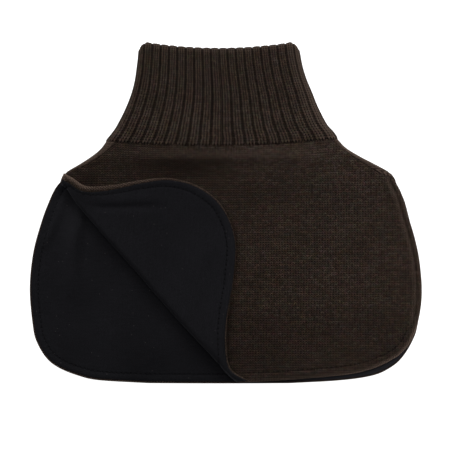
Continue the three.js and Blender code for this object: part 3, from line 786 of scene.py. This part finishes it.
def makeBackLining():
    # the inner ply, lifted by its folds. Painted light pales its nap at the lower right and beside a fold
    flat, free, place, seam = backCloth(cloth["liningInset"], back["liningRings"])
    x, y = flat[..., 0], flat[..., 1]
    depths = liningDepths(free, place, cloth["liningInset"], 0.45)
    upper, lower = (backPoints(flat, cloth["wall"] - depth) for depth in depths)
    lift = shoulderFolds(upper) + 0.3 + 0.25 * ripples(upper[..., 0], upper[..., 1], 70, 9)
    lift = lift * eased(0, 9, free) * eased(0, 20, seam) * (y < back["foldsTop"])
    for face in (upper, lower):
        face[..., 2] += lift
    # painted light: the strip at the lower right, and a band on the lit side left of a fold's crest
    paintedLight = eased(60, 110, x) * eased(-125, -140, y) * (1 - eased(5, 9, free))
    beside = x - along(foldRows, "crest", y, "y") + 7
    paintedLight = paintedLight + 0.14 * hump(beside, 0, 8) * eased(-100, -50, y) * eased(20, -5, y)
    maps = clothMaps(flat, place, free, seam, paintedLight)
    return clothSheet("backBibLining", upper, lower, maps, liningCloth, ring=True), upper


backKnit = makeBackKnit()
backLining, backUpper = makeBackLining()
print("back bib made:", len(backKnit.data.polygons) + len(backLining.data.polygons), "faces")


# front bib with its turned corner

front = dict(
    swell=3.4, swellRow=(58, 7.3), lowest=8.8, sagTop=(57, 34), sagFoot=(-35, 0), sagAcross=(-54, 46),
    flapSpan=95.0, keptSpan=345.0, rowSpan=240.0, step=3.2, rowStep=2.8, rollColumns=18, squareShare=0.06,
    steepest=0.98, levelShare=0.25, shoulderShare=5 / 19, stations=5, sideLength=235, hemLength=340,
    drawPower=16, creaseStart=(-140, -118), creaseEnd=(-52, -80), creaseY=5.5, crease=1.7, creaseWidth=2.6,
    ridge=1.3, ridgeAbove=8, ridgeWidth=5)
frontSide = table("x y", (168.5, 33), (176, 16), (183.1, -8), (188.5, -26.7), (192.8, -48), (195.1, -74.7),
                  (194, -94.7), (189.7, -114.7), (182.5, -131.1), (171.5, -143.1))
frontHem = table("x y", (21.9, -166.4), (41.3, -166), (74.7, -164.3), (119.5, -160.6), (141.5, -156.3),
                 (157.5, -150.4), (171.5, -142.6))
flapRows = table(
    "foldX foldY edgeX edgeY roll lift band",
    (-164.5, 30, -160.8, 39.6, 1.3, 2.4, 5.0),
    (-157.5, 23.1, -151.2, 34.2, 1.3, 4.2, 6.4),
    (-148.5, 9.5, -137.5, 26.4, 1.4, 5.6, 6.0),
    (-133.5, -8.5, -112.5, 27.5, 1.6, 5.0, 5.0),
    (-113.5, -31.5, -83.5, 32.5, 1.9, 3.6, 3.6),
    (-91.5, -56, -55.5, 34.5, 2.2, 2.2, 2.2),
    (-69.5, -81.5, -26.5, 26, 2.5, 1.4, 1.7),
    (-48.5, -105.5, -3.5, 6.5, 2.8, 1.4, 1.3),
    (-30.5, -125.1, 9.1, -26, 3.0, 1.2, 0.6),
    (-16.5, -140, 7.5, -65.1, 3.2, 1.0, 0.5),
    (-6.5, -151.1, 2, -101.1, 3.0, 1.0, 1.4),
    (0.5, -158.5, 0.6, -131.1, 2.6, 1.1, 1.5),
    (7.5, -164.5, 5.2, -154.6, 2.0, 1.2, 1.2),
    (14.5, -168.8, 23.5, -166.6, 1.4, 1.2, 0.8))
flapEnds = table("x y", (-164.5, 30), (14.5, -168.8))


def pair(rows, at, names="x y"):  # two columns of a table, as points, at any share of it
    return np.stack([along(rows, name, at) for name in names.split()], -1)


def hemLine(share, start):  # the lower edge, from the fold's end to the right side
    return pair(frontHem, share) + (start - pair(frontHem, 0.0)) * (1 - share)[:, None]


def seamPoint(rowAt, left):  # where the front bib meets the back bib's wrap
    y = along(outlineRows, "y", rowAt)
    side, way = ("L", 1) if left else ("R", -1)
    band = np.maximum(shoulder("band" + side, y), 0) + cloth["seamGap"]
    return np.stack([along(outlineRows, "edge" + side, rowAt) + way * band, y], -1)


def frontHeight(x, y):
    # the front's upper face: flat over the back bib, raised towards the collar, round at the shoulders
    half, fold = np.abs(onSide(outlineRows, "edge", x < 0, y)), shoulder("fold", y)
    turn = np.clip(onSide(shoulderRows, "turn", x < 0, y), 0, 1) ** 3
    past = np.clip(np.abs(x) - (half - fold), 0, fold * front["steepest"])
    drop = turn * (fold - np.sqrt(fold ** 2 - past ** 2))
    inward = np.maximum(0, 1 - (x / half) ** 2)
    swell = front["swell"] * hump(y, *front["swellRow"]) + 0.22 * ripples(x, y, 85, 21) * eased(70, 50, y)
    return 2 * fold + shoulder("rise", y) - drop + shoulder("crown", y) * inward ** 2 + swell * inward


def sunken(height, x, y):  # between the collar and the turned corner the front sinks down on the back bib
    sag = eased(*front["sagTop"], y) * eased(*front["sagFoot"], y) * hump(x, *front["sagAcross"])
    return height + (front["lowest"] - height) * sag


def flapSection(t):
    # across the turned corner at a share of the fold: where the fold lies, the middle of its roll, the free
    # edge, the direction between them and the roll's inner radius
    fold, edge = pair(flapRows, t, "foldX foldY"), pair(flapRows, t, "edgeX edgeY")
    way, roll = unit(edge - fold), along(flapRows, "roll", t)
    return fold, fold + way * (roll + cloth["wall"])[..., None], edge, way, roll


def frontTop(u):
    # up the left shoulder seam, along the collar, down the right one, with each seam's last stretch moved
    # to the bib's own corner
    share, stations = front["shoulderShare"], front["stations"]
    station = stations * (share - np.minimum(u, 1 - u)) / share
    rowAt = np.clip(station, 0, stations) / lastRow
    moved = eased(stations - 1.2, stations, station)[:, None]
    left, right = (
        seamPoint(rowAt, isLeft) + (corner - seamPoint(stations / lastRow, isLeft)) * moved
        for isLeft, corner in ((True, flapSection(0.0)[1]), (False, pair(frontSide, 0.0))))
    s = np.clip((u - share) / (1 - 2 * share), 0, 1)[:, None]
    collarLine = seamPoint(0.0, True) * (1 - s) + seamPoint(0.0, False) * s
    return np.where((station >= 0)[:, None], np.where((u < 0.5)[:, None], left, right), collarLine)


def keptPlan(u, t, kept, centre):
    # the part that isn't turned, as a grid between four edges: the blend across plus the blend down, less
    # the blend of the four corners. It tucks in a little under the collar
    top, hem = frontTop(kept), hemLine(kept, centre[-1])
    uu, tt = u[..., None], t[:, None, None]
    upper, lower = pointsAt(u, kept, top), pointsAt(u, kept, hem)
    plan = (upper * (1 - tt) + lower * tt + centre[:, None] * (1 - uu) + pair(frontSide, t)[:, None] * uu
            - flapSection(0.0)[1] * (1 - uu) * (1 - tt) - pair(frontSide, 0.0) * uu * (1 - tt)
            - hem[0] * (1 - uu) * tt - pair(frontSide, 1.0) * uu * tt)
    tucked = eased(68, 72.7, plan[..., 1]) * eased(0, 30, 113 - np.abs(plan[..., 0]))
    plan[..., 1] += cloth["underCollar"] * tucked
    return plan, top


def keptFace(plan, u, t):
    # its upper face at the front's height, and the directions straight out of it
    x, y = plan[..., 0], plan[..., 1]
    level = frontHeight(x, y)
    level = level + (sunken(level, x, y) - level) * eased(0, 0.1, u)
    face = np.stack([x, bowed(x, y), level], -1)
    normal = np.cross(np.gradient(face, axis=0), np.gradient(face, axis=1))
    normal[..., 1] *= np.clip(t / front["squareShare"], 0, 1)[:, None]
    return face, unit(normal)


def frontCloth(drawnIn):
    # the front bib's grid: columns run from the turned corner's free edge over the fold to the right side.
    # The fold is half a turn of a roll, and the corner comes down from it by a parabola to its lift
    across = spread(front["flapSpan"], front["step"], True, False)
    rolled = np.linspace(0, 1, front["rollColumns"])[1:-1]
    kept = spread(front["keptSpan"], front["step"], False, True)
    rows = spread(front["rowSpan"], front["rowStep"], True, True)
    power, square = front["drawPower"], np.clip(rows / front["squareShare"], 0, 1)[:, None]
    t = rows - drawnIn / front["sideLength"] * rows ** power
    u = kept[None] - drawnIn * square / front["hemLength"] * kept[None] ** power
    _, centre, edge, way, roll = flapSection(t)
    lift, band = along(flapRows, "lift", t), along(flapRows, "band", t)
    inward = np.minimum(0.8, band / np.linalg.norm(edge - centre, axis=1)) if drawnIn else 0 * band
    out = (1 - across)[None]  # 1 at the free edge, 0 at the fold
    s = out * (1 - inward[:, None] * out)
    flapPlan = centre[:, None] + (edge - centre)[:, None] * s[..., None]
    base = frontHeight(centre[:, 0], centre[:, 1])
    over = frontHeight(flapPlan[..., 0], flapPlan[..., 1])
    level = base[:, None] + (over - base[:, None]) * np.clip(s / front["levelShare"], 0, 1)
    clear = 2 * roll[:, None] + (lift - 2 * roll)[:, None] * (s * (2 - s))
    flapHeight = level + clear + flapFolds(flapPlan) * eased(0, 0.3, s)
    plan, top = keptPlan(u, t, kept, centre)
    face, normal = keptFace(plan, u, t)
    angle = np.pi * (1 - rolled)[None]
    flapEnd, keptStart = len(across), len(across) + len(rolled)

    def points(depth):  # the bib's points at a depth below the knit's outer face
        flap = np.concatenate([flapPlan, (flapHeight + depth[:, :flapEnd])[..., None]], -1)
        radius = roll[:, None] + depth[:, flapEnd:keptStart]
        rollPlan = centre[:, None] - way[:, None] * (radius * np.sin(angle))[..., None]
        rollHeight = base[:, None] + roll[:, None] - radius * np.cos(angle)
        turned = np.concatenate([rollPlan, rollHeight[..., None]], -1)
        for part in (flap, turned):
            part[..., 1] = bowed(part[..., 0], part[..., 1])
        return np.concatenate([flap, turned, face - normal * depth[:, keptStart:, None]], 1)

    flatPlan = points(np.full((len(rows), keptStart + len(kept)), cloth["wall"] / 2))[..., :2].copy()
    flatPlan[:, keptStart:] = plan
    flatPlan[:, :flapEnd] = flapPlan
    bands = np.full(flatPlan.shape[:2], cloth["liningInset"])
    bands[:, :flapEnd] = band[:, None]
    return points, flatPlan, bands, flapEnd, keptStart, top


def flapFolds(plan):  # a shallow crease across the turned corner, with a soft swell above it
    x, y = plan[..., 0], plan[..., 1]
    where = eased(*front["creaseStart"], x) * eased(*front["creaseEnd"], x)
    off = y - front["creaseY"] - 0.02 * (x + 100)
    crease = front["crease"] * hump(off, 0, front["creaseWidth"])
    swell = front["ridge"] * hump(off, front["ridgeAbove"], front["ridgeWidth"])
    return where * (swell - crease) + 0.4 * ripples(x, y, 60, 33)


def frontEdges(flatPlan, keptStart, top):
    # distances in the plan from the free edges, along them and from the seams, part by part
    t = np.linspace(0, 1, 240)
    fold, centre, edge, _, _ = flapSection(t)
    keptEdge = np.concatenate([pair(frontSide, t), hemLine(np.linspace(1, 0, 160), centre[-1])[1:]])
    flapEdge = np.concatenate([fold[-1:], centre[-1:], edge[::-1], centre[:1], fold[:1]])
    free, place = np.zeros(flatPlan.shape[:2]), np.zeros(flatPlan.shape[:2])
    for part, line in ((np.s_[:, keptStart:], keptEdge), (np.s_[:, :keptStart], flapEdge)):
        free[part], place[part] = nearLine(flatPlan[part], resampled(line, 1.5))
    seam = np.full(flatPlan.shape[:2], 99.0)
    seam[:, keptStart:], _ = nearLine(flatPlan[:, keptStart:], top)
    return free, place, seam, keptEdge, flapEdge


def unfolded(flatPlan, keptStart):
    # the bib laid flat: the turned corner is mirrored back over the fold line
    start, end = pair(flapEnds, 0.0), pair(flapEnds, 1.0)
    way = unit(end - start)
    flat = flatPlan.copy()
    off = flat[:, :keptStart] - start
    flat[:, :keptStart] = start + 2 * (off @ way)[..., None] * way - off
    return flat


def makeFrontKnit():
    # the outer ply, whose hem is rolled instead of stitched down the upper right side. Fuzz and a painted
    # highlight pale the turned corner's edge, most at its tip, the lower right edge and the rolled hem, and
    # painted light pales the swell by the collar
    points, flatPlan, bands, _, keptStart, top = frontCloth(0)
    free, place, seam, keptEdge, flapEdge = frontEdges(flatPlan, keptStart, top)
    x, y = flatPlan[..., 0], flatPlan[..., 1]
    rolled = eased(140, 150, x) * eased(-118, -100, y)
    lowerRight = eased(80, 140, x) * eased(-100, -125, y)
    # painted highlight, partly paler fuzz, along the edges and the rolled hem; painted light on the swell by
    # the collar
    fuzzAndHighlight = ((0.4 + 0.3 * lowerRight) * (1 - eased(1, 4.5, free)) + lowerRight * (1 - eased(0.4, 1.5, free))
            + 0.5 * eased(135, 165, x) * lowerRight * (1 - eased(2, 4.5, free))
            + 0.55 * rolled * hump(free, 7.4, 1.6) + 0.08 * hump(y, 60, 6) * eased(0, 3, seam))
    # the turned corner's edge: painted highlight, partly paler fuzz, brightest at the tip
    flapFuzzAndHighlight = 0.8 * np.clip(bands / 3.2, 0.3, 1) * (1 - eased(1.2, 5.5, free)) * (1 + eased(-125, -155, x))
    fuzzAndHighlight[:, :keptStart] = flapFuzzAndHighlight[:, :keptStart]
    maps = clothMaps(unfolded(flatPlan, keptStart), place, free + 30 * rolled, seam, fuzzAndHighlight)
    upper, lower = (points(depth) for depth in knitDepths(free, place, seam, bands, rolled))
    return clothSheet("frontBibKnit", upper, lower, maps, plainKnit), upper[:, keptStart:], keptEdge, flapEdge


def makeFrontLining():
    # the inner ply, drawn in at the free edges, which shows on the turned corner
    points, flatPlan, bands, flapEnd, keptStart, top = frontCloth(cloth["liningInset"])
    free, place, seam, _, _ = frontEdges(flatPlan, keptStart, top)
    pull = 0.25 + 0.5 * eased(-70, 0, flatPlan[..., 0])
    maps = clothMaps(unfolded(flatPlan, keptStart), place, free, seam, free * 0)
    upper, lower = (points(depth) for depth in liningDepths(free, place, bands, pull))
    return clothSheet("frontBibLining", upper, lower, maps, liningCloth), upper[:, :flapEnd]


frontKnit, keptUpper, keptEdge, flapEdge = makeFrontKnit()
frontLining, flapUpper = makeFrontLining()
print("front bib made:", len(frontKnit.data.polygons) + len(frontLining.data.polygons), "faces")


# topstitching

thread = dict(radius=0.36, length=3.7, sink=0.75, below=0.05, rings=7, sides=6,
              hemEnds=(150, 8), cornerEnds=(36, 12), backEnds=(14, 60))


def restingOn(places, surface):
    # heights of a surface under places in the plan, averaged from its nearest points
    known = surface.reshape(-1, 3)
    heights = np.empty(len(places))
    for i in range(0, len(places), 64):
        gap2 = ((places[i:i + 64, None] - known[None, :, :2]) ** 2).sum(-1)
        weight = 1 / (gap2 + 0.3) ** 3
        heights[i:i + 64] = (weight * known[:, 2]).sum(1) / weight.sum(1)
    return heights


def stitchLine(edge, inwards, ends):
    # the middles and directions of the stitches, at a fixed distance inside an edge, short of its two ends
    line = resampled(edge, 0.5)
    walked, ahead = walkedAlong(line), unit(np.gradient(line, axis=0))
    at = np.arange(math.ceil(ends[0] / stitchPitch), int((walked[-1] - ends[1]) / stitchPitch)) * stitchPitch
    middles = line + rightOf(ahead) * inwards * stitchInset
    return pointsAt(at, walked, middles), pointsAt(at, walked, ahead)


def stitches(name, middles, ways, surface, material):
    # each stitch is a short round tube that dives into the cloth at both ends by the cube of the way
    rings, sides = thread["rings"], thread["sides"]
    way = np.linspace(-1, 1, rings)
    turn = np.arange(sides) * 2 * np.pi / sides
    centre = middles[:, None] + ways[:, None] * (way * thread["length"] / 2)[None, :, None]
    top = restingOn(middles, surface)[:, None] - thread["below"] - thread["sink"] * np.abs(way)[None] ** 3
    radius = thread["radius"] * np.sqrt(np.clip(1.05 - way ** 6, 0.05, 1))
    across = -rightOf(ways)
    plan = centre[:, :, None] + across[:, None, None] * (radius[:, None] * np.cos(turn))[None, ..., None]
    height = top[..., None] + (radius[:, None] * np.sin(turn))[None]
    points = np.concatenate([plan, height[..., None]], -1)
    count = rings * sides
    caps = np.array([[0, 1, 2, 3], [0, 3, 4, 5]])  # the six points of an end ring
    tube = gridQuads(rings, sides, closedAcross=True)[:, ::-1]
    one = np.concatenate([tube, caps, caps[:, ::-1] + count - sides])
    quads = (np.arange(len(middles))[:, None, None] * count + one[None]).reshape(-1, 4)
    uv = np.stack(np.broadcast_arrays(way[:, None] * 0.5, turn[None] / 6.283), -1)
    uvs = {"cloth": np.broadcast_to(uv, (len(middles), rings, sides, 2)).reshape(-1, 2)}
    return makeMesh(name, points.reshape(-1, 3), quads, uvs, material)


hemRow = stitchLine(keptEdge, 1, thread["hemEnds"])
hemRow[0][:, 1] = bowed(*hemRow[0].T)  # the front bib's rows sag
hemStitches = stitches("hemStitches", *hemRow, keptUpper, brownThread)
cornerRow = stitchLine(flapEdge, -1, thread["cornerEnds"])
cornerStitches = stitches("cornerStitches", *cornerRow, flapUpper, blackThread)
backRow = stitchLine(backLoop[~loopOnSeam], 1, thread["backEnds"])
backStitches = stitches("backStitches", *backRow, backUpper, blackThread)
print("topstitching made")


# what rides where, and what each piece stands for

for piece, node, slotName in (
        (ribCollar, "collar", "rib_knit"), (backKnit, "back_knit", "plain_knit"),
        (backLining, "back_lining", "lining"), (frontKnit, "front_knit", "plain_knit"),
        (frontLining, "front_lining", "lining"), (hemStitches, None, "plain_knit"),
        (cornerStitches, None, "lining"), (backStitches, None, "lining")):
    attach(piece, "root")
    if node:
        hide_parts(node)

print("pieces placed")
